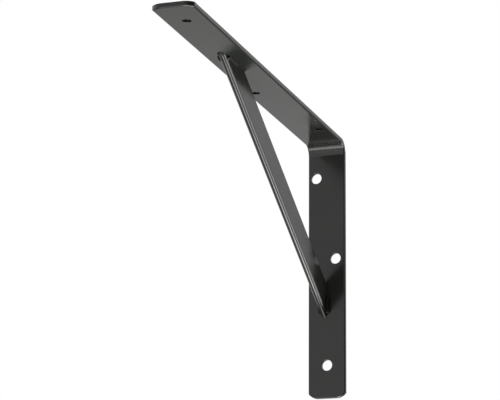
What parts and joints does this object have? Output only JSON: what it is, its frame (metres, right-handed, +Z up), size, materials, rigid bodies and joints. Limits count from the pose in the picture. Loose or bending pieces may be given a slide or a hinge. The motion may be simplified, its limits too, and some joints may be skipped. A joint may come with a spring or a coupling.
{
  "type": "shelf bracket",
  "caption": "Black L-shaped steel shelf bracket: flat strip bent into a wall leg and a shelf arm, with a folded channel brace welded across the corner and staggered screw holes.",
  "frame": {"origin": "centre of the lowest wall hole, on the wall plane", "axes": "+Y into the wall, +Z up, +X to the right when facing the wall; the shelf arm runs out along -Y"},
  "size_m": [0.0254, 0.3, 0.175],
  "materials": {
    "black_powder_coat": "semi-gloss black powder coat on steel"
  },
  "bodies": {
    "root": {"bent_strip": "black_powder_coat", "brace": "black_powder_coat", "weld_beads": "black_powder_coat"}
  },
  "joints": []
}
